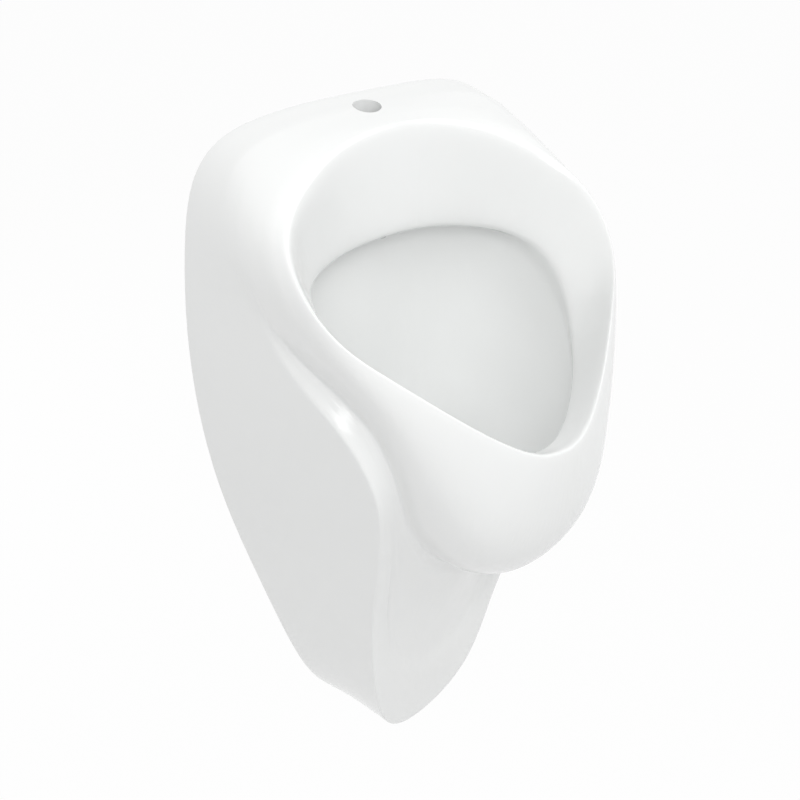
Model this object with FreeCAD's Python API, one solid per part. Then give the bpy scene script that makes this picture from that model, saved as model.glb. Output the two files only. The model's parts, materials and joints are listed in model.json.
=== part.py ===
"""Wall hung urinal in glazed china, with its flush inlet, waste outlet, bottle trap and wall hooks.

Frame: millimetres, +Z up, +Y into the wall, the user stands on the -Y side.  The origin is the top of
the back outline, on the wall plane and on the centre line.
"""
import FreeCAD, Part
import math
import os

V = FreeCAD.Vector
OUT = "parts"
UP = V(0, 0, 1)
BACK = V(0, 1, 0)

# ------------------------------------------------------------------ driving sizes of the china body
body_width = 356.0
body_depth = 314.8
body_height = 685.7
edge_land = 6.0              # square edge round the back, where the china meets the wall
rim_width = 14.0             # flat ring of china that touches the wall
shell = 9.0                  # thickness of the cast walls
rim_round = 5.0              # how far the rounding of the rim reaches on each side
scoop_depth = 8.0            # hollow in the front face below the bowl
scoop_wall = 11.0            # width of the slope into that hollow
bead = 6.0                   # how far the fold under the bowl stands out
edge_round = 5.0             # how far the rounding of the shroud's front edge reaches
hidden_bands = 15            # straight bands that make up each hidden wall
core_end_r = 30.0            # the hollow's core narrows to this inside the bowl
bowl_core_r = 40.0           # and the bowl's own core narrows to this above the mouth
past = 1.0                   # how far a cutting shape reaches past the face it cuts

# ------------------------------------------------------------------ flush inlet
inlet_bore_r = 13.0
inlet_boss_wall = 8.0
inlet_boss_length = 44.0
seal_drop = 16.0             # bare bore above the rubber seal
seal_length = 26.0
seal_lip = 4.0               # height of its flared mouth
seal_edge = 1.0              # flat edge round the mouth
flush_pipe_r = 9.0           # pipe that a plumber pushes into the seal
tube_r = 8.0                 # slanted tube from the seal to the nozzle
tube_wall = 1.5
tube_collar = 3.0
ledge_thick = 10.0           # china under the hood, where the nozzle is clamped
ledge_boss_r = 12.0
nozzle_stem_r = 5.5
nozzle_bore_r = 4.0
nozzle_stem_length = 20.0
nozzle_flange_r = 9.0
nozzle_flange = 2.5
nozzle_nose_r = 7.5
nozzle_nose = 7.0
nozzle_slots = 7
nozzle_slot_width = 2.0
nozzle_nut_r = 9.5
nozzle_nut_height = 6.0
nozzle_washer_thick = 2.0
nozzle_seat_gap = 1.0        # room round the flange where it meets the ledge
nozzle_seat_depth = 12.0     # how far the flat seat is cut down through the ledge's underside
nozzle_end_share = 0.6       # radius of the nose's end, as a share of the nose
nozzle_end = 2.0             # closed end below the slots
nozzle_roof = 1.5            # solid ring above the slots

# ------------------------------------------------------------------ waste outlet
recess_r = 30.0
recess_depth = 7.0
recess_edge = 2.0            # china round the recess before the bowl begins to rise
recess_land = 8.0            # nearly level floor round the recess
recess_land_rise = 1.0
drain_floor = 13.0           # china under the recess
drain_boss_r = 42.0
flange_r = 29.0
flange_thick = 3.0
flange_edge = 1.0            # upright edge of the flange
flange_bevel = 2.0           # slope from the edge up to its top
strainer_seat_bevel = 1.0    # slope down into the strainer's seat
gasket_thick = 2.5
tail_r = 18.0
tail_wall = 2.0
tail_length = 52.0
tail_gap = 1.0               # room round the tail in the china
waste_washer_r = 28.0
waste_washer_thick = 3.0
waste_nut_r = 30.0
waste_nut_height = 9.0
strainer_r = 21.5
strainer_thick = 2.0
strainer_hole_r = 2.2
strainer_knob_r = 5.0
strainer_knob_height = 5.0
strainer_knob_waist = 0.6    # radius of the knob's waist, as a share of the knob
strainer_knob_waist_at = 0.4 # height of the waist, as a share of the knob
strainer_inner_ring_r = 9.5
strainer_inner_holes = 6
strainer_outer_ring_r = 16.5
strainer_outer_holes = 10

# ------------------------------------------------------------------ bottle trap
joint_washer = 2.0           # flat rubber rings in the screwed joints
dip_tube_r = 13.0
dip_tube_wall = 1.5
dip_flange = 2.0
dip_depth = 24.0             # how far the dip tube reaches into the cup
neck_r = 16.0
neck_wall = 2.0
neck_collar = 4.0
neck_collar_r = 22.0
neck_length = 14.0
union_height = 24.0
union_step = 0.5             # the nut's shoulder above the end of the tail
nut_wall = 4.0
nut_lip = 3.0
nut_ribs = 12
nut_rib = 1.0
nut_rib_width = 3.0
trap_r = 28.0
trap_wall = 2.5
trap_length = 64.0
trap_thread = 13.0
trap_shoulder = 3.0          # bevel round the top of the chamber
trap_roof_slope = 1.0
cup_r = 25.0
cup_flange = 3.0
cup_length = 34.0
cup_bevel = 6.0
cup_corner = 1.0             # how much higher the bevel starts inside
outlet_drop = 26.0           # outlet axis below the top of the trap body
socket_r = 22.5
socket_length = 24.0
outlet_pipe_r = 20.0
outlet_pipe_wall = 1.8
outlet_pipe_insert = 14.0
pipe_end_gap = 1.0           # room past the pipe's end in the socket
outlet_pipe_past_wall = 35.0
pipe_stop_r = 23.0           # ring on the pipe that stops it at the wall
pipe_stop = 4.0
outlet_nut_height = 16.0
outlet_seal_thick = 3.0

# ------------------------------------------------------------------ wall hooks
rib_thick = 12.0             # china rib that hangs on the hooks
rib_height = 24.0
rib_setback = 9.0
hook_spacing = 180.0
hook_width = 36.0
hook_steel = 4.0
hook_nose = 12.0
hook_above_rib = 6.0
hook_hole_r = 4.5
hook_hole_pitch = 32.0
hook_hole_edge = 12.0
hook_nose_gap = 1.5
pad_thick = 2.5

# ------------------------------------------------------------------ clearances
slip = 0.3                   # between pieces that slide or lift past each other
thread_gap = 0.06            # radial, between a thread and its nut

# ------------------------------------------------------------------ rails of the china body
# Each rail is a loop round the body, from the top centre (station 0) down the right side to the bottom
# or the lip (station 16), and is mirrored on the left.  The points are drawn at these reference sizes.
DRAWN_HALF_WIDTH = 178.0
DRAWN_DEPTH = 316.8
DRAWN_HEIGHT = 689.8
STATIONS = 16

BACK_EDGE = {0: (0, 0, 0), 2: (85, 0, -2), 3: (124, 0, -9), 4: (152, 0, -27), 5: (168, 0, -59),
             6: (175, 0, -110), 8: (178, 0, -220), 10: (162, 0, -346), 12: (127, 0, -470),
             14: (81, 0, -608), 15: (52, 0, -669), 16: (0, 0, -700)}
SHOULDER = {0: (0, -30, -3), 2: (84, -33, -5), 3: (121, -36, -11), 4: (149, -43, -28),
            5: (166, -56, -60), 6: (171, -72, -98), 7: (161, -97, -129), 8: (157, -122, -170),
            9: (144, -180, -204), 10: (131, -206, -234), 11: (119, -222, -278), 12: (108, -208, -325),
            13: (93, -178, -395), 14: (76, -140, -495), 15: (62, -127, -612), 16: (0, -73, -718)}
SCOOP = {0: (0, -41, -5), 2: (80, -46, -8), 4: (147.5, -63, -33), 5: (165, -78, -61), 6: (169.5, -92, -97),
         7: (161, -105, -126),
         8: (153, -125, -166), 9: (137, -180, -197), 10: (122, -207, -227), 11: (111, -221, -270),
         12: (99, -212, -315), 13: (82, -184, -394), 14: (63, -147, -488), 15: (40, -133, -553),
         16: (0, -124, -597)}
VALLEY = {0: (0, -52, -7), 2: (76, -60, -11), 3: (112, -71, -21), 4: (145, -85, -40),
          5: (161.5, -101, -62.5), 6: (168, -112, -97), 7: (163, -118, -126), 8: (149, -129, -161),
          9: (129, -180, -189), 10: (112, -209, -218), 11: (100, -220, -262), 12: (89, -215, -303),
          13: (70, -208, -344), 14: (48, -202, -374), 15: (24, -198, -388), 16: (0, -197, -392)}
BELLY = {0: (0, -62, -9), 2: (68, -70, -14), 3: (104, -82, -23), 4: (136, -97, -40),
         5: (155, -115, -59.5), 6: (165.5, -136, -84), 7: (165, -155, -108), 8: (157, -176, -136),
         9: (142, -206, -160), 10: (123, -232, -190), 11: (109, -253, -224), 12: (92, -271, -261),
         13: (75, -288, -297), 14: (51, -298, -322), 15: (25, -302, -334), 16: (0, -303, -337)}
RIM = {0: (0, -68, -11), 2: (60, -79, -17), 3: (92, -93, -28), 4: (120, -106, -44), 5: (144, -129, -58),
       6: (156, -156, -74), 7: (158, -181, -94), 8: (152, -202, -113), 9: (139, -220, -129),
       10: (118, -241, -146), 12: (72, -284, -184), 14: (28, -314, -213), 16: (0, -318.6, -218)}
OPENING = {0: (0, -73, -115), 2: (52, -76, -118.5), 4: (98, -94, -126), 6: (119, -126, -134),
           8: (120, -168, -158), 10: (98, -213, -203), 12: (63, -250, -223), 14: (28, -277, -233),
           16: (0, -284, -237)}
UNDERCUT = {0: (0, -42, -117), 2: (58, -46, -121), 4: (106, -66, -132), 6: (126, -100, -146),
            8: (127, -152, -175), 10: (106, -205, -212), 12: (69, -250, -240), 14: (31, -282, -249),
            16: (0, -291, -252)}
WELL = {0: (0, -38, -175), 4: (98, -55, -190), 8: (119, -140, -222), 12: (70, -246, -266),
        16: (0, -290, -284)}
BASIN = {0: (0, -42, -272), 4: (72, -58, -280), 8: (88, -136, -298), 12: (56, -220, -316),
         16: (0, -258, -326)}
# places on the centre line, in the same drawing
INLET = (0, -30, -5)
NOZZLE = (0, -51, -113)
DRAIN = (0, -98, -366)
RIB = (0, 0, -90)
BOWL_MIDDLE = (0, -150, -150)
ABOVE_BOWL = (0, -200, 60)


def drawn(point):
    """A drawn point at the real size of the body."""
    x, y, z = point
    return V(x * body_width / 2 / DRAWN_HALF_WIDTH, y * body_depth / DRAWN_DEPTH,
             z * body_height / DRAWN_HEIGHT)


def rail(keys):
    """The loop through a rail's points, read at every station from the top centre round to the right."""
    right = sorted(keys)
    left = [k for k in reversed(right) if 0 < k < STATIONS]
    points = [drawn(keys[k]) for k in right]
    points += [drawn((-keys[k][0], keys[k][1], keys[k][2])) for k in left]
    at = [float(k) for k in right] + [float(2 * STATIONS - k) for k in left] + [2.0 * STATIONS]
    curve = Part.BSplineCurve()
    curve.interpolate(Points=points, PeriodicFlag=True, Parameters=at)
    return [curve.value(float(k)) for k in range(2 * STATIONS)]


def blend(first, second, share):
    return [a * (1 - share) + b * share for a, b in zip(first, second)]


def ease(station, start, end):
    """0 up to the start station, 1 from the end station, counted from the top on both sides."""
    k = min(station, 2 * STATIONS - station)
    return min(1.0, max(0.0, (k - start) / (end - start)))


def pushed(row, vector, start, end):
    """The row moved by a vector, more and more from the start station to the end station."""
    side = [1 if k <= STATIONS else -1 for k in range(len(row))]
    return [p + V(vector.x * s * abs(p.x) / 100.0, vector.y, vector.z) * ease(k, start, end)
            for k, (p, s) in enumerate(zip(row, side))]


def skin(rows):
    """A smooth surface whose control points are the rows, open along them and closed round them."""
    surface = Part.BSplineSurface()
    last = len(rows) - 3
    surface.buildFromPolesMultsKnots(
        rows, [4] + [1] * (last - 1) + [4], [1] * (len(rows[0]) + 1),
        [float(k) for k in range(last + 1)], [float(k) for k in range(len(rows[0]) + 1)],
        False, True, 3, 3)
    return surface


def banded(rows, bands):
    """Straight bands between evenly spread loops of the skin: a plainer face for hidden walls."""
    surface = skin(rows)
    loops = [surface.uIso((len(rows) - 3) * n / bands).toShape() for n in range(bands + 1)]
    faces = [Part.makeRuledSurface(a, b) for a, b in zip(loops, loops[1:])]
    return faces + [Part.Face(Part.Wire(loop)) for loop in (loops[0], loops[-1])]


def lid(surface, at_start):
    """The flat face that closes one end of a skin."""
    u = surface.bounds()[0 if at_start else 1]
    return Part.Face(Part.Wire(surface.uIso(u).toShape()))


def closed(faces):
    """The solid inside a set of faces that meet edge to edge."""
    sewn = Part.makeShell(faces)
    sewn.sewShape()
    body = Part.Solid(sewn)
    if body.Volume < 0:
        body.reverse()
    return body


def softened(first, second, reach):
    """The first row moved towards the second by a length, or by most of the way where that is short."""
    return [a + (b - a) * min(reach / (b - a).Length, 0.6) for a, b in zip(first, second)]


def outer_rows():
    """The outside of the body, row by row from the back edge to the rounding of the rim."""
    back, shoulder, scoop, valley, belly = (rail(r) for r in (BACK_EDGE, SHOULDER, SCOOP, VALLEY, BELLY))
    low = [ease(k, 12, 14) for k in range(2 * STATIONS)]
    rows = [back, [p - BACK * edge_land for p in back]]
    rows += [blend(back, shoulder, 0.35), blend(back, shoulder, 0.7), softened(shoulder, back, edge_round)]
    rows += [shoulder, softened(shoulder, scoop, edge_round), scoop]
    # three rows between the scoop's border and the valley: beside the bowl, and below it
    for share, low_share, move in ((0.25, None, V(0, scoop_depth, 0)), (0.45, 0.65, V(0, scoop_depth, 0)),
                                   (0.7, 0.95, V(0, -bead, -bead))):
        row = []
        for first, second, e in zip(scoop, valley, low):
            foot = low_share or scoop_wall / (second - first).Length
            row.append(first + (second - first) * (share + (foot - share) * e) + move * e)
        rows.append(row)
    rows.append(valley)
    rows.append(pushed(blend(valley, belly, 0.45), V(6, -7, -25), 10, 16))
    rows.append(belly)
    rim, crest = rim_rows()
    rows.append(pushed(blend(belly, rim, 0.55), V(5, -3, 0), 7, 10))
    rows.append(softened(rim, belly, rim_round))
    rows.append(crest)
    return rows


def rim_rows():
    """The sharp rim, and the crest of its rounding, midway between the faces on its two sides."""
    belly, rim, opening = (rail(r) for r in (BELLY, RIM, OPENING))
    return rim, blend(softened(rim, belly, rim_round), softened(rim, opening, rim_round), 0.5)


def ring(centre, radius, up=0.0):
    """A level row that makes a circle about a point, with its first point at the back."""
    turn = [math.pi * k / STATIONS for k in range(2 * STATIONS)]
    # the control points of a cubic closed curve stand outside its circle
    reach = radius * 3 / (2 + math.cos(math.pi / STATIONS))
    return [centre + V(reach * math.sin(t), reach * math.cos(t), up) for t in turn]


def bowl_rows():
    """The inside of the bowl, row by row from the rounding of the rim down to the drain."""
    opening, undercut, well, basin = (rail(r) for r in (OPENING, UNDERCUT, WELL, BASIN))
    rim, crest = rim_rows()
    floor = ring(drawn(DRAIN), recess_r + recess_land, recess_depth + recess_land_rise)
    return [crest, softened(rim, opening, rim_round), blend(rim, opening, 0.35),
            blend(rim, opening, 0.75), blend(rim, opening, 0.97), blend(opening, undercut, 0.2),
            undercut, blend(undercut, well, 0.3), well, blend(well, basin, 0.5), basin,
            blend(basin, floor, 0.6), floor, ring(drawn(DRAIN), recess_r + recess_edge, recess_depth)]


def offset_rows(rows, indexes, distance):
    """Chosen rows of a skin, moved square off its surface."""
    surface = skin(rows)
    top = len(rows) - 3
    moved = []
    for i in indexes:
        u = min(max(i - 1.0, 0.05), top - 0.05)
        moved.append([p + surface.normal(u, (k - 1.0) % len(rows[i])) * distance
                      for k, p in enumerate(rows[i])])
    return moved


def between_walls():
    """The hollow behind the bowl, open to the wall."""
    rows = outer_rows()
    within = offset_rows(rows, (2, 3, 5, 7, 9, 11, 12, 13), -shell)
    back = offset_rows(rows, [0], -rim_width)[0]
    back = [V(p.x, 0, p.z) for p in back]
    middle = drawn(BOWL_MIDDLE)
    core = [[p + BACK for p in back], [p - BACK * edge_land for p in back]] + within
    core += [blend(within[-1], ring(middle, core_end_r), 0.5), ring(middle, core_end_r)]
    around = offset_rows(bowl_rows(), range(1, 12), -shell)
    above = drawn(ABOVE_BOWL)
    wall = [ring(above, bowl_core_r), blend(ring(above, bowl_core_r), around[0], 0.7)] + around
    wall += [ring(drain, recess_r + shell), ring(drain, recess_r + shell, -drain_floor)]
    core = closed(banded(core, hidden_bands))
    wall = closed(banded(wall, hidden_bands))
    return core.cut(wall)


def rod(radius, start, end, at):
    """An upright cylinder between two heights, about the axis through a point."""
    return Part.makeCylinder(radius, end - start, V(at.x, at.y, start), UP)


def turned(profile, at, axis=UP):
    """A ring or bowl turned from its (radius, along) profile about an axis through a point."""
    across = V(1, 0, 0)
    points = [at + across * r + axis * h for r, h in profile]
    face = Part.Face(Part.makePolygon(points + [points[0]]))
    return face.revolve(at, axis, 360)


def tube(radius, bore, start, end, at, axis=UP):
    return turned([(bore, start), (radius, start), (radius, end), (bore, end)], at, axis)


def box(x0, x1, y0, y1, z0, z1):
    return Part.makeBox(x1 - x0, y1 - y0, z1 - z0, V(x0, y0, z0))


# ------------------------------------------------------------------ heights down the drain
drain = drawn(DRAIN)
recess_z = drain.z
china_under_z = recess_z - drain_floor
flange_z = recess_z + gasket_thick
tail_end_z = flange_z - tail_length
dip_flange_z = tail_end_z - joint_washer
collar_z = dip_flange_z - dip_flange
trap_top_z = collar_z - neck_length
trap_end_z = trap_top_z - trap_length
cup_top_z = trap_end_z - joint_washer
outlet_z = trap_top_z - outlet_drop
trap_bore_r = trap_r - trap_wall
socket_end_y = drain.y + trap_r + socket_length

# ------------------------------------------------------------------ heights down the inlet
inlet = drawn(INLET)
nozzle = drawn(NOZZLE)
seal_top_z = inlet.z - seal_drop
seal_end_z = seal_top_z - seal_length
boss_end_z = inlet.z - inlet_boss_length
ledge_z = nozzle.z
ledge_top_z = ledge_z + ledge_thick
tube_end_z = ledge_top_z + nozzle_washer_thick + nozzle_nut_height

# ------------------------------------------------------------------ hooks
rib = drawn(RIB)
hook_floor_z = rib.z - pad_thick
hook_end_z = hook_floor_z - hook_steel - hook_hole_pitch - 2 * hook_hole_edge
hook_top_z = rib.z + hook_above_rib
hook_reach = rib_setback + rib_thick + hook_nose_gap


def ceramic_body():
    """The china: bowl, hood and shroud in one casting, hollow behind."""
    outer = skin(outer_rows())
    bowl = skin(bowl_rows())
    body = closed([outer.toShape(), bowl.toShape(), lid(outer, True), lid(bowl, False)])
    hollow = between_walls()
    hollow = hollow.cut(rod(inlet_bore_r + inlet_boss_wall, boss_end_z, 0, inlet))
    hollow = hollow.cut(rod(ledge_boss_r, ledge_z, ledge_top_z, nozzle))
    hollow = hollow.cut(rod(drain_boss_r, china_under_z, recess_z + recess_depth, drain))
    hollow = hollow.cut(box(-body_width, body_width, -rib_setback - rib_thick, -rib_setback,
                            rib.z, rib.z + rib_height))
    body = body.cut(hollow)
    body = body.cut(rod(inlet_bore_r, boss_end_z - past, past, inlet))
    body = body.cut(rod(nozzle_stem_r + slip, ledge_z - past, ledge_top_z + past, nozzle))
    body = body.cut(rod(nozzle_flange_r + nozzle_seat_gap, ledge_z - nozzle_seat_depth, ledge_z, nozzle))
    body = body.cut(rod(recess_r, recess_z, recess_z + recess_depth + past, drain))
    return body.cut(rod(tail_r + tail_gap, china_under_z - past, recess_z + past, drain))


def inlet_seal():
    """Rubber seal pressed into the inlet bore, with a lip at its top that grips the flush pipe."""
    return turned([(flush_pipe_r, seal_end_z), (inlet_bore_r, seal_end_z), (inlet_bore_r, seal_top_z),
                   (inlet_bore_r - seal_edge, seal_top_z), (flush_pipe_r, seal_top_z - seal_lip)],
                  V(0, inlet.y, 0))


def spreader_tube():
    """Slanted tube that carries the flush from the seal down to the nozzle."""
    top = V(0, inlet.y, seal_end_z - tube_collar)
    foot = V(0, nozzle.y, tube_end_z)
    outside, inside = (Part.makeLoft([Part.Wire(Part.Circle(at, UP, r).toShape()) for at in (foot, top)],
                                     True, True) for r in (tube_r, tube_r - tube_wall))
    collar = tube(inlet_bore_r - slip, tube_r - tube_wall, top.z, seal_end_z, V(0, inlet.y, 0))
    return outside.cut(inside).fuse(collar).removeSplitter()


def nozzle_washer():
    """Washer between the china ledge and the nozzle nut."""
    return tube(nozzle_nut_r, nozzle_stem_r + thread_gap, ledge_top_z, ledge_top_z + nozzle_washer_thick,
                V(0, nozzle.y, 0))


def nozzle_nut():
    """Hexagon nut that clamps the nozzle to the ledge."""
    start = ledge_top_z + nozzle_washer_thick
    return hexagon_nut(nozzle_nut_r, nozzle_stem_r + thread_gap, start, start + nozzle_nut_height,
                       V(0, nozzle.y, 0))


def spray_nozzle():
    """Nozzle under the hood: a threaded stem, a flange and a slotted nose that fans the flush."""
    nose_end = ledge_z - nozzle_flange - nozzle_nose
    at = V(0, nozzle.y, 0)
    solid = turned([(0, nose_end), (nozzle_nose_r * nozzle_end_share, nose_end),
                    (nozzle_nose_r, nose_end + nozzle_nose / 2), (nozzle_nose_r, ledge_z - nozzle_flange),
                    (nozzle_flange_r, ledge_z - nozzle_flange), (nozzle_flange_r, ledge_z),
                    (nozzle_stem_r, ledge_z), (nozzle_stem_r, ledge_z + nozzle_stem_length),
                    (0, ledge_z + nozzle_stem_length)], at)
    solid = solid.cut(rod(nozzle_bore_r, nose_end + nozzle_end, ledge_z + nozzle_stem_length + past, nozzle))
    for n in range(nozzle_slots):
        slot = box(0, nozzle_nose_r + past, -nozzle_slot_width / 2, nozzle_slot_width / 2,
                   nose_end + nozzle_end, nose_end + nozzle_nose - nozzle_roof)
        # the slots face forward and to the sides, away from the wall
        slot.rotate(V(), UP, 180 + 180 * n / (nozzle_slots - 1))
        slot.translate(at)
        solid = solid.cut(slot)
    return solid


def waste_gasket():
    return tube(flange_r, tail_r + slip, recess_z, flange_z, V(0, drain.y, 0))


def waste_flange():
    """Waste outlet: a dished flange in the bowl and a threaded tail through the china."""
    top = flange_z + flange_thick
    bore = tail_r - tail_wall
    seat = strainer_r + slip
    return turned([(bore, tail_end_z), (tail_r, tail_end_z), (tail_r, flange_z), (flange_r, flange_z),
                   (flange_r, flange_z + flange_edge), (flange_r - flange_bevel, top),
                   (seat + strainer_seat_bevel, top),
                   (seat, top - strainer_thick), (bore, top - strainer_thick)], V(0, drain.y, 0))


def strainer():
    """Perforated grid with a knob, which lifts out of the waste flange."""
    base = flange_z + flange_thick - strainer_thick
    top = base + strainer_thick
    plate = turned([(0, base), (strainer_r, base), (strainer_r, top), (strainer_knob_r, top),
                    (strainer_knob_r * strainer_knob_waist, top + strainer_knob_height * strainer_knob_waist_at),
                    (strainer_knob_r, top + strainer_knob_height), (0, top + strainer_knob_height)],
                   V(0, drain.y, 0))
    for ring_r, holes in ((strainer_inner_ring_r, strainer_inner_holes),
                          (strainer_outer_ring_r, strainer_outer_holes)):
        for n in range(holes):
            turn = 2 * math.pi * n / holes
            at = V(ring_r * math.sin(turn), drain.y + ring_r * math.cos(turn), 0)
            plate = plate.cut(rod(strainer_hole_r, base - past, top + past, at))
    return plate


def waste_washer():
    return tube(waste_washer_r, tail_r + slip, china_under_z - waste_washer_thick, china_under_z,
                V(0, drain.y, 0))


def waste_nut():
    """Flat hexagon nut that pulls the waste flange down on the china."""
    top = china_under_z - waste_washer_thick
    return hexagon_nut(waste_nut_r, tail_r + thread_gap, top - waste_nut_height, top,
                       V(0, drain.y, 0))


def hexagon_nut(corner_r, bore_r, start, end, at):
    corners = [at + V(corner_r * math.cos(n * math.pi / 3), corner_r * math.sin(n * math.pi / 3), start)
               for n in range(7)]
    nut = Part.Face(Part.makePolygon(corners)).extrude(UP * (end - start))
    return nut.cut(rod(bore_r, start - past, end + past, at))


def ribbed(nut, radius, start, end, at, axis):
    """The nut with grip ribs along its outside."""
    for n in range(nut_ribs):
        rib = Part.makeBox(2 * nut_rib, nut_rib_width, end - start, V(radius - nut_rib, -nut_rib_width / 2, start))
        if axis == BACK:
            rib.rotate(V(), V(1, 0, 0), -90)
        rib.rotate(V(), axis, 360.0 * n / nut_ribs)
        rib.translate(at)
        nut = nut.fuse(rib)
    return nut.removeSplitter()


def joint_seal():
    """Flat rubber ring between the waste tail and the dip tube's flange."""
    return tube(tail_r, dip_tube_r - dip_tube_wall, dip_flange_z, tail_end_z, V(0, drain.y, 0))


def dip_tube():
    """Tube that carries the waste down into the cup, hung by its flange on the trap's neck."""
    bore = dip_tube_r - dip_tube_wall
    end = cup_top_z - dip_depth
    return turned([(bore, end), (dip_tube_r, end), (dip_tube_r, collar_z), (tail_r, collar_z),
                   (tail_r, dip_flange_z), (bore, dip_flange_z)], V(0, drain.y, 0))


def union_nut():
    """Nut that joins the trap's neck to the waste tail."""
    outer = neck_collar_r + slip + nut_wall
    bottom = collar_z - neck_collar - nut_lip
    top = bottom + union_height
    at = V(0, drain.y, 0)
    nut = turned([(neck_r + slip, bottom), (outer, bottom), (outer, top), (tail_r + thread_gap, top),
                  (tail_r + thread_gap, tail_end_z + union_step), (neck_collar_r + slip, tail_end_z + union_step),
                  (neck_collar_r + slip, collar_z - neck_collar), (neck_r + slip, collar_z - neck_collar)],
                 at)
    return ribbed(nut, outer, bottom, top, at, UP)


def trap_body():
    """Body of the bottle trap: neck, chamber and the side socket for the outlet pipe."""
    at = V(0, drain.y, 0)
    neck_bore = neck_r - neck_wall
    chamber = turned([(neck_bore, trap_top_z), (neck_bore, collar_z), (neck_collar_r, collar_z),
                      (neck_collar_r, collar_z - neck_collar), (neck_r, collar_z - neck_collar),
                      (neck_r, trap_top_z + trap_shoulder), (trap_r - trap_shoulder, trap_top_z + trap_shoulder),
                      (trap_r, trap_top_z),
                      (trap_r, trap_end_z), (trap_bore_r, trap_end_z),
                      (trap_bore_r, trap_top_z - trap_roof_slope), (neck_bore, trap_top_z)], at)
    axis_at = V(0, drain.y, outlet_z)
    socket = Part.makeCylinder(socket_r, socket_end_y - drain.y, axis_at, BACK)
    socket = socket.cut(rod(trap_bore_r, trap_end_z, trap_top_z, drain))
    chamber = chamber.fuse(socket)
    waterway = Part.makeCylinder(outlet_pipe_r - outlet_pipe_wall, socket_end_y - drain.y, axis_at, BACK)
    seat_y = socket_end_y - outlet_pipe_insert - pipe_end_gap
    seat = Part.makeCylinder(outlet_pipe_r + slip, socket_end_y - seat_y, V(0, seat_y, outlet_z), BACK)
    return chamber.cut(waterway).cut(seat).removeSplitter()


def cup_seal():
    return tube(trap_r, trap_bore_r, cup_top_z, trap_end_z, V(0, drain.y, 0))


def trap_cup():
    """Cup at the foot of the trap, which holds the water seal and the dirt."""
    base = cup_top_z - cup_length
    bore = cup_r - trap_wall
    return turned([(0, base), (cup_r - cup_bevel, base), (cup_r, base + cup_bevel),
                   (cup_r, cup_top_z - cup_flange), (trap_r, cup_top_z - cup_flange),
                   (trap_r, cup_top_z), (bore, cup_top_z), (bore, base + cup_bevel + cup_corner),
                   (bore - cup_bevel, base + trap_wall), (0, base + trap_wall)], V(0, drain.y, 0))


def cup_nut():
    """Ribbed ring nut that holds the cup to the trap body and unscrews for cleaning."""
    bottom = cup_top_z - cup_flange - nut_lip
    top = trap_end_z + trap_thread
    outer = trap_r + slip + nut_wall
    at = V(0, drain.y, 0)
    nut = turned([(cup_r + slip, bottom), (outer, bottom), (outer, top), (trap_r + thread_gap, top),
                  (trap_r + thread_gap, trap_end_z), (trap_r + slip, trap_end_z),
                  (trap_r + slip, bottom + nut_lip), (cup_r + slip, bottom + nut_lip)], at)
    return ribbed(nut, outer, bottom, top, at, UP)


def outlet_seal():
    """Rubber ring squeezed round the outlet pipe at the mouth of the socket."""
    return tube(socket_r, outlet_pipe_r + thread_gap, 0, outlet_seal_thick,
                V(0, socket_end_y, outlet_z), BACK)


def outlet_nut():
    """Ribbed nut that squeezes the outlet seal."""
    outer = socket_r + slip + nut_wall
    seat = outlet_seal_thick
    start = seat + nut_lip - outlet_nut_height
    at = V(0, socket_end_y, outlet_z)
    nut = turned([(socket_r + thread_gap, start), (outer, start), (outer, seat + nut_lip),
                  (outlet_pipe_r + slip, seat + nut_lip), (outlet_pipe_r + slip, seat),
                  (socket_r + thread_gap, seat)], at, BACK)
    return ribbed(nut, outer, start, seat + nut_lip, at, BACK)


def outlet_pipe():
    """Pipe from the trap's socket into the wall, with a ring that stops it at the wall."""
    bore = outlet_pipe_r - outlet_pipe_wall
    start = socket_end_y - outlet_pipe_insert
    return turned([(bore, start), (outlet_pipe_r, start), (outlet_pipe_r, -pipe_stop),
                   (pipe_stop_r, -pipe_stop), (pipe_stop_r, 0), (outlet_pipe_r, 0),
                   (outlet_pipe_r, outlet_pipe_past_wall), (bore, outlet_pipe_past_wall)],
                  V(0, 0, outlet_z), BACK)


def wall_hook(side):
    """Steel hook that is screwed to the wall: a back plate, a shelf and a turned-up nose."""
    x = side * hook_spacing / 2
    left, right = x - hook_width / 2, x + hook_width / 2
    nose_y = -hook_reach - hook_steel
    profile = [V(left, 0, hook_end_z), V(left, 0, hook_top_z), V(left, -hook_steel, hook_top_z),
               V(left, -hook_steel, hook_floor_z), V(left, -hook_reach, hook_floor_z),
               V(left, -hook_reach, hook_floor_z + hook_nose), V(left, nose_y, hook_floor_z + hook_nose),
               V(left, nose_y, hook_floor_z - hook_steel), V(left, -hook_steel, hook_floor_z - hook_steel),
               V(left, -hook_steel, hook_end_z)]
    hook = Part.Face(Part.makePolygon(profile + [profile[0]])).extrude(V(right - left, 0, 0))
    bend = [e for e in hook.Edges if abs(e.BoundBox.XLength - hook_width) < 0.01
            and abs(e.BoundBox.YMin - nose_y) < 0.1 and abs(e.BoundBox.ZMin - hook_floor_z + hook_steel) < 0.1]
    hook = hook.makeFillet(hook_steel, bend)
    for z in (hook_end_z + hook_hole_edge, hook_end_z + hook_hole_edge + hook_hole_pitch):
        hook = hook.cut(Part.makeCylinder(hook_hole_r, hook_steel + 2 * past, V(x, -hook_steel - past, z), BACK))
    return hook


def hook_left():
    return wall_hook(-1)


def hook_right():
    return wall_hook(1)


def hook_pads():
    """Rubber pads between the hooks and the china rib, one on each hook."""
    pads = []
    for side in (-1, 1):
        x = side * hook_spacing / 2
        pads.append(box(x - hook_width / 2, x + hook_width / 2, -rib_setback - rib_thick, -rib_setback,
                        hook_floor_z, rib.z))
    return Part.Compound(pads)


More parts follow.
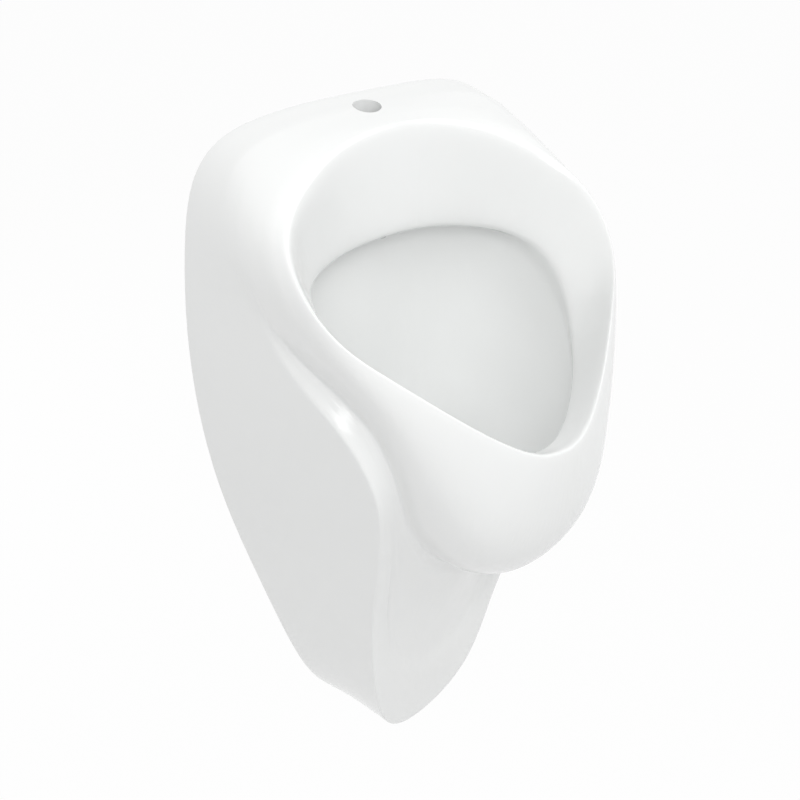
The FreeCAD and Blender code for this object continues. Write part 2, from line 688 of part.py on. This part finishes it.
NODES = (ceramic_body, inlet_seal, spreader_tube, nozzle_washer, nozzle_nut, spray_nozzle,
         waste_gasket, waste_flange, strainer, waste_washer, waste_nut, joint_seal, dip_tube,
         union_nut, trap_body, cup_seal, trap_cup, cup_nut, outlet_seal, outlet_nut, outlet_pipe,
         hook_left, hook_right, hook_pads)

if __name__ == "__main__":
    os.makedirs(OUT, exist_ok=True)
    for make in NODES:
        shape = make()
        spans = [round(v, 1) for v in (shape.BoundBox.XMin, shape.BoundBox.XMax, shape.BoundBox.YMin,
                                       shape.BoundBox.YMax, shape.BoundBox.ZMin, shape.BoundBox.ZMax)]
        print(make.__name__, shape.isValid(), len(shape.Solids), round(shape.Volume / 1000, 2), spans)
        shape.exportStep(OUT + "/" + make.__name__ + ".step")
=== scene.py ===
# %% [markdown]
# # A wall hung urinal in glazed china
#
# The shapes in this lesson are already made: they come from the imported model, which is loaded as a
# fixed frame.  What is left for Blender is the part that the eye judges first: how white glazed china,
# chrome, rubber and moulded plastic answer light, and a studio that shows them plainly.

import json
import math

import bpy
from mathutils import Matrix, Vector


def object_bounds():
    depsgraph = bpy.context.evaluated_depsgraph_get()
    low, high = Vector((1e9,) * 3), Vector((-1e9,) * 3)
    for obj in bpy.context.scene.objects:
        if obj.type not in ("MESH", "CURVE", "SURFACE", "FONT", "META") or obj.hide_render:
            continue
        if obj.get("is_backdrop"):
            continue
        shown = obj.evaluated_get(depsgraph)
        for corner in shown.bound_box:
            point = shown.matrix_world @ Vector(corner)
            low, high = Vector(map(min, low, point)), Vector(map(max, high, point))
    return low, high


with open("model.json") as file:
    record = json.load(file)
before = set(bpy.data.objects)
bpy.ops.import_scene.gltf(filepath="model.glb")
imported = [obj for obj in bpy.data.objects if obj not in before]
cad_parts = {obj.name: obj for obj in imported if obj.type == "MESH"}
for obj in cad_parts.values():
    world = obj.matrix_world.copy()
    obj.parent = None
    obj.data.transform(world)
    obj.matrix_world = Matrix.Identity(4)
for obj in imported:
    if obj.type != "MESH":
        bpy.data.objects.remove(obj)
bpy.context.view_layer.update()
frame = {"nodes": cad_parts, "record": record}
nodes = frame["nodes"]

# %% [markdown]
# ## A small language for shaders
#
# A material is a graph of nodes, and graphs are hard to read as code.  So one small class wraps a
# socket and lets Python's own operators add the Math nodes: `0.3 + 0.1 * drift` builds two nodes, and
# it works from either side because each operator has its reflected form.  Any other node comes from
# one method, which takes its type, its settings and what goes into its sockets.  A second class adds
# what every finish here needs: noise, a tint between two colours, and a bump.

# %% Sockets that do arithmetic
class Wire:
    """The output of a shader node, on which + and * build Math nodes."""

    def __init__(self, graph, socket):
        self.graph = graph
        self.socket = socket

    def maths(self, operation, first, second):
        return self.graph.node("ShaderNodeMath", {"operation": operation}, [first, second])

    def __add__(self, other):
        return self.maths("ADD", self, other)

    def __radd__(self, other):
        return self.maths("ADD", other, self)

    def __mul__(self, other):
        return self.maths("MULTIPLY", self, other)

    def __rmul__(self, other):
        return self.maths("MULTIPLY", other, self)


class Graph:
    """A node tree under construction."""

    def __init__(self, tree):
        self.tree = tree

    def node(self, kind, settings=None, inputs=None, output=0):
        """Add a node: first its settings, then its inputs by name or place; returns one output."""
        made = self.tree.nodes.new(kind)
        for key, value in (settings or {}).items():
            if key == "stops":
                self.set_stops(made.color_ramp, value)
            else:
                setattr(made, key, value)
        pairs = inputs.items() if isinstance(inputs, dict) else enumerate(inputs or [])
        for key, value in pairs:
            self.feed(made.inputs[key], value)
        return Wire(self, made.outputs[output])

    def set_stops(self, ramp, stops):
        """Give a ramp's two stops their places and greys."""
        for element, (place, grey) in zip(ramp.elements, stops):
            element.position = place
            element.color = (grey, grey, grey, 1.0)

    def feed(self, socket, value):
        """Link a wire to a socket, or set the socket to a plain value."""
        if isinstance(value, Wire):
            self.tree.links.new(value.socket, socket)
        else:
            socket.default_value = value


# A Mix node has number, vector and colour sockets under the same names, so the colour ones are
# asked for by place.
mix_share, mix_first, mix_second, mix_colour = 0, 6, 7, 2


class Finish(Graph):
    """A material under construction, with its main shader."""

    def __init__(self, name):
        self.name = name     # kept, because Blender may add a number to the material's own name
        self.material = bpy.data.materials.new(name)
        self.material.use_nodes = True
        super().__init__(self.material.node_tree)
        self.shader = self.tree.nodes["Principled BSDF"]

    def set(self, **inputs):
        """Set the main shader's sockets; Base_Color stands for "Base Color"."""
        for key, value in inputs.items():
            self.feed(self.shader.inputs[key.replace("_", " ")], value)

    def place(self):
        """Where a point is, in the object's own metres."""
        return self.node("ShaderNodeTexCoord", output="Object")

    def noise(self, scale, detail=2.0, roughness=0.5):
        """A noise field from 0 to 1, with so many waves to the metre."""
        return self.node("ShaderNodeTexNoise", None,
                         {"Vector": self.place(), "Scale": scale, "Detail": detail,
                          "Roughness": roughness})

    def tint(self, share, first, second):
        """A colour between two, by a share from 0 to 1."""
        return self.node("ShaderNodeMix", {"data_type": "RGBA"},
                         {mix_share: share, mix_first: (*first, 1.0), mix_second: (*second, 1.0)},
                         output=mix_colour)

    def bump(self, height, depth):
        """A normal from a height field, whose full swing is a depth in metres."""
        return self.node("ShaderNodeBump", None, {"Strength": 1.0, "Distance": depth, "Height": height})


finishes = {}


def keep(finish):
    """Put a finish on the shelf under its slot's name, and say how many nodes it took."""
    finishes[finish.name] = finish.material
    print(finish.name, "has", len(finish.tree.nodes), "nodes")


print("a wire can do + and *, from both sides")

# %% [markdown]
# ## Glazed china
#
# A urinal is slip cast, dried, sprayed with a white glaze and fired.  The glaze melts to glass about
# half a millimetre thick over a white body.  Three things give it away: a clear reflection on top of
# a soft white, a slow waviness in that reflection where the melt settled, and a faint change of tone
# where the glaze is thinner.  A single flat white would show none of them, so a noise about the size
# of a hand moves the tone by a percent or two, and two finer noises make the bump.

# %% Glazed china
china_white = (0.845, 0.852, 0.846)
china_thin_glaze = (0.832, 0.842, 0.838)
china_gloss = 0.13
china_gloss_drift = 0.06
glaze_index = 1.5
settling_size = 5.0          # every noise size is in waves to the metre
glaze_wave_size = 9.0
glaze_wave_depth = 0.00035
glaze_pore_size = 260.0
glaze_pore_depth = 0.000012


def glazed_china():
    china = Finish("glazed_china")
    settled = china.noise(settling_size, detail=1.0)
    waves = china.noise(glaze_wave_size, detail=1.0)
    pores = china.noise(glaze_pore_size)
    china.set(Base_Color=china.tint(settled, china_white, china_thin_glaze),
              Roughness=china_gloss + china_gloss_drift * settled,
              IOR=glaze_index,
              Normal=china.bump(waves + pores * (glaze_pore_depth / glaze_wave_depth), glaze_wave_depth))
    return china


keep(glazed_china())

# %% [markdown]
# ## Chrome
#
# The waste flange, the strainer and the spray nozzle are plated.  Plating copies what it covers, so
# chrome in use isn't a perfect mirror: limescale dulls it in patches.  The patches raise the
# roughness and take a little brightness from the metal.

# %% Chrome
chrome_clean = (0.60, 0.61, 0.62)
chrome_scaled = (0.50, 0.51, 0.52)
chrome_gloss = 0.07
limescale_roughness = 0.16
limescale_size = 90.0
limescale_stops = [(0.45, 0.0), (0.75, 1.0)]


def chromed_metal():
    chrome = Finish("chromed_metal")
    patches = chrome.node("ShaderNodeValToRGB", {"stops": limescale_stops},
                          {"Fac": chrome.noise(limescale_size, detail=4.0)})
    chrome.set(Base_Color=chrome.tint(patches, chrome_clean, chrome_scaled),
               Metallic=1.0,
               Roughness=chrome_gloss + limescale_roughness * patches)
    return chrome


keep(chromed_metal())

# %% [markdown]
# ## Moulded plastic
#
# The trap is moulded in white polypropylene, which is a little waxy, and the spreader tube in a grey
# one.  Both take their fine grain from the mould's spark-eroded face, so a small bump and a
# roughness near a third are enough.

# %% Moulded plastic
plastic_tones = {
    # name: two tones, fresh and worn
    "white_plastic": ((0.80, 0.80, 0.785), (0.74, 0.74, 0.72)),
    "grey_plastic": ((0.28, 0.29, 0.30), (0.22, 0.23, 0.24)),
}
plastic_gloss = 0.3
plastic_gloss_drift = 0.1
plastic_drift_size = 22.0
mould_grain_size = 1400.0
mould_grain_depth = 0.00003


def moulded_plastic(name, fresh, worn):
    plastic = Finish(name)
    grain = plastic.noise(mould_grain_size, detail=1.0)
    drift = plastic.noise(plastic_drift_size)
    plastic.set(Base_Color=plastic.tint(drift, fresh, worn),
                Roughness=plastic_gloss + plastic_gloss_drift * drift,
                Normal=plastic.bump(grain, mould_grain_depth))
    return plastic


for name, (fresh, worn) in plastic_tones.items():
    keep(moulded_plastic(name, fresh, worn))

# %% [markdown]
# ## Rubber
#
# Seals and pads are black rubber.  It is never quite black: dust and bloom lift it to a dark grey in
# clouds, and it scatters light softly.

# %% Rubber
rubber_clean = (0.022, 0.022, 0.023)
rubber_bloomed = (0.06, 0.06, 0.058)
rubber_gloss = 0.62
rubber_gloss_drift = 0.2
bloom_size = 60.0
rubber_grain_size = 900.0
rubber_grain_depth = 0.00005


def black_rubber():
    rubber = Finish("black_rubber")
    bloom = rubber.noise(bloom_size, detail=5.0, roughness=0.65)
    rubber.set(Base_Color=rubber.tint(bloom, rubber_clean, rubber_bloomed),
               Roughness=rubber_gloss + rubber_gloss_drift * bloom,
               Normal=rubber.bump(rubber.noise(rubber_grain_size), rubber_grain_depth))
    return rubber


keep(black_rubber())

# %% [markdown]
# ## Brass
#
# The backing nuts are turned from cast brass, and the lathe leaves fine rings.  A wave texture in its
# ring mode stands for them.  Its rings run round the frame's own upright axis and not each nut's, so on
# a nut away from that axis they read as fine arcs.  A noise dulls the metal in patches, as damp does.

# %% Brass
brass_bright = (0.78, 0.58, 0.27)
brass_dull = (0.58, 0.42, 0.2)
brass_gloss = 0.22
brass_gloss_drift = 0.18
tarnish_size = 45.0
lathe_ring_size = 420.0
lathe_ring_wobble = 1.5
lathe_ring_depth = 0.00002


def cast_brass():
    brass = Finish("cast_brass")
    rings = brass.node("ShaderNodeTexWave", {"wave_type": "RINGS", "rings_direction": "Z"},
                       {"Vector": brass.place(), "Scale": lathe_ring_size,
                        "Distortion": lathe_ring_wobble, "Detail": 2.0}, output="Fac")
    dull = brass.noise(tarnish_size, detail=3.0)
    brass.set(Base_Color=brass.tint(dull, brass_bright, brass_dull),
              Metallic=1.0,
              Roughness=brass_gloss + brass_gloss_drift * dull,
              Normal=brass.bump(rings, lathe_ring_depth))
    return brass


keep(cast_brass())

# %% [markdown]
# ## Zinc-plated steel
#
# The wall hooks are steel with a zinc coat.  Zinc freezes in spangles, for which a Voronoi texture's
# cells are the natural choice: each point's distance from its cell's middle moves the tone.

# %% Zinc-plated steel
zinc_light = (0.60, 0.62, 0.64)
zinc_dark = (0.46, 0.48, 0.5)
zinc_gloss = 0.3
zinc_gloss_drift = 0.16
spangle_size = 160.0
zinc_grain_size = 300.0
zinc_grain_depth = 0.00003


def zinc_steel():
    zinc = Finish("zinc_steel")
    spangle = zinc.node("ShaderNodeTexVoronoi", None, {"Vector": zinc.place(), "Scale": spangle_size})
    zinc.set(Base_Color=zinc.tint(spangle, zinc_light, zinc_dark),
             Metallic=1.0,
             Roughness=zinc_gloss + zinc_gloss_drift * spangle,
             Normal=zinc.bump(zinc.noise(zinc_grain_size, detail=3.0), zinc_grain_depth))
    return zinc


keep(zinc_steel())

# %% [markdown]
# ## Dressing the frame
#
# Each node already knows its material slot from the record.  The new finishes go into the same
# slots, so a node's place and mesh stay as they were.

# %% Put the finishes on the nodes
slot_of = {part["node"]: part["material_slot"] for part in frame["record"]["subparts"]}
for name, node in nodes.items():
    node.data.materials.clear()
    node.data.materials.append(finishes[slot_of[name]])
print("dressed", len(nodes), "nodes in", len(finishes), "finishes")

# %% [markdown]
# ## The camera
#
# The photograph looks at the object from its left and from above.  The camera is placed from four
# measured facts: its two angles, its distance, and the pixel on which the top of the back outline
# falls.

# %% Camera
side_angle = math.radians(35.0)
down_angle = math.radians(30.0)
origin_depth = 1.350
picture_side_px = 800
focal_px = 1500.0
origin_px = (348.5, 93.2)
sensor_mm = 36.0


def studio_camera():
    forward = Vector((math.sin(side_angle) * math.cos(down_angle),
                      math.cos(side_angle) * math.cos(down_angle),
                      -math.sin(down_angle)))
    right = Vector((math.cos(side_angle), -math.sin(side_angle), 0.0))
    up = right.cross(forward)
    across = (origin_px[0] - picture_side_px / 2) / focal_px * origin_depth
    above = (picture_side_px / 2 - origin_px[1]) / focal_px * origin_depth
    lens = bpy.data.cameras.new("studio_camera")
    lens.sensor_width = sensor_mm
    lens.lens = sensor_mm * focal_px / picture_side_px
    camera = bpy.data.objects.new("studio_camera", lens)
    place = -(forward * origin_depth + right * across + up * above)
    turn = Matrix((right, up, -forward)).transposed().to_4x4()
    camera.matrix_world = Matrix.Translation(place) @ turn
    bpy.context.scene.collection.objects.link(camera)
    bpy.context.scene.camera = camera
    return camera


camera = studio_camera()
print("camera at", tuple(round(v, 3) for v in camera.location))

# %% [markdown]
# ## A white surround
#
# The background has to be white, but more light on the object to whiten it would wash out white
# china.  So the floor and the world are white only to the camera, in reflections and through glass.
# For the rays that light the object, the world is dimmer and fills the hollows evenly, and the floor
# is a pale grey.  A small share of that grey stays in what the camera sees, to carry the shadow.

# %% Floor and world
white = (1.0, 1.0, 1.0, 1.0)
floor_below_foot = 0.60      # low enough to look up at the foot from below
floor_side = 30.0
floor_grey = 0.80
floor_roughness = 0.9
floor_glow = 0.95            # share of pure white in what the camera sees of the floor
world_light = 0.635          # the world's strength for the rays that light the object


def shown_rays(graph):
    """1 for the rays that show the surround to the eye, and 0 for those that only light things."""
    shown = graph.node("ShaderNodeLightPath", output="Is Camera Ray")
    for name in ("Is Glossy Ray", "Is Transmission Ray"):
        ray = graph.node("ShaderNodeLightPath", output=name)
        shown = graph.node("ShaderNodeMath", {"operation": "MAXIMUM"}, [shown, ray])
    return shown


def white_floor():
    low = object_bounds()[0]
    bpy.ops.mesh.primitive_plane_add(size=floor_side, location=(0, 0, low[2] - floor_below_foot))
    floor = bpy.context.object
    floor.name = "studio_floor"
    paint = Finish("floor_paint")
    paint.set(Base_Color=(floor_grey, floor_grey, floor_grey, 1.0), Roughness=floor_roughness)
    glow = paint.node("ShaderNodeEmission", None, {"Color": white, "Strength": 1.0})
    mixed = paint.node("ShaderNodeMixShader", None,
                       [shown_rays(paint) * floor_glow, Wire(paint, paint.shader.outputs[0]), glow])
    paint.feed(paint.tree.nodes["Material Output"].inputs["Surface"], mixed)
    floor.data.materials.append(paint.material)
    floor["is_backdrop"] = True
    return floor


def soft_world():
    world = bpy.data.worlds.new("studio_world")
    world.use_nodes = True
    bpy.context.scene.world = world
    sky = Graph(world.node_tree)
    background = sky.tree.nodes["Background"]
    sky.feed(background.inputs["Color"], white)
    sky.feed(background.inputs["Strength"], world_light + (1.0 - world_light) * shown_rays(sky))


floor = white_floor()
soft_world()
print("floor at height", round(floor.location.z, 3), "and world at", world_light)

# %% [markdown]
# ## Lamps
#
# White china needs light from several sides, or its own shading drowns in hard shadows.  A lamp
# behind the camera and above it reaches what the camera sees, the inside of the bowl too.  Large soft
# lamps above the front and the sides make the top read brighter than the walls, and one on the wall
# side shows the back in views from behind.

# %% Lamps
lamp_target = (0, -0.15, -0.3)
lamps = {
    # name: place, side of the square, power
    "front_lamp": ((0.0, -2.0, 1.8), 1.6, 17.5),
    "camera_lamp": ((-1.15, -1.75, 1.1), 1.0, 14.5),
    "right_lamp": ((1.6, -0.8, 1.8), 1.6, 11.0),
    "left_lamp": ((-1.6, -0.8, 1.8), 1.6, 3.0),
    "wall_side_lamp": ((-0.5, 2.4, 0.1), 1.6, 16.0),
}


def soft_lamp(name, place, side, power):
    lamp = bpy.data.lights.new(name, "AREA")
    lamp.shape = "SQUARE"
    lamp.size = side
    lamp.energy = power
    holder = bpy.data.objects.new(name, lamp)
    holder.location = place
    holder.rotation_euler = (Vector(lamp_target) - Vector(place)).to_track_quat("-Z", "Y").to_euler()
    bpy.context.scene.collection.objects.link(holder)


for name, (place, side, power) in lamps.items():
    soft_lamp(name, place, side, power)
bpy.context.scene.view_settings.view_transform = "Standard"
print(len(lamps), "lamps")
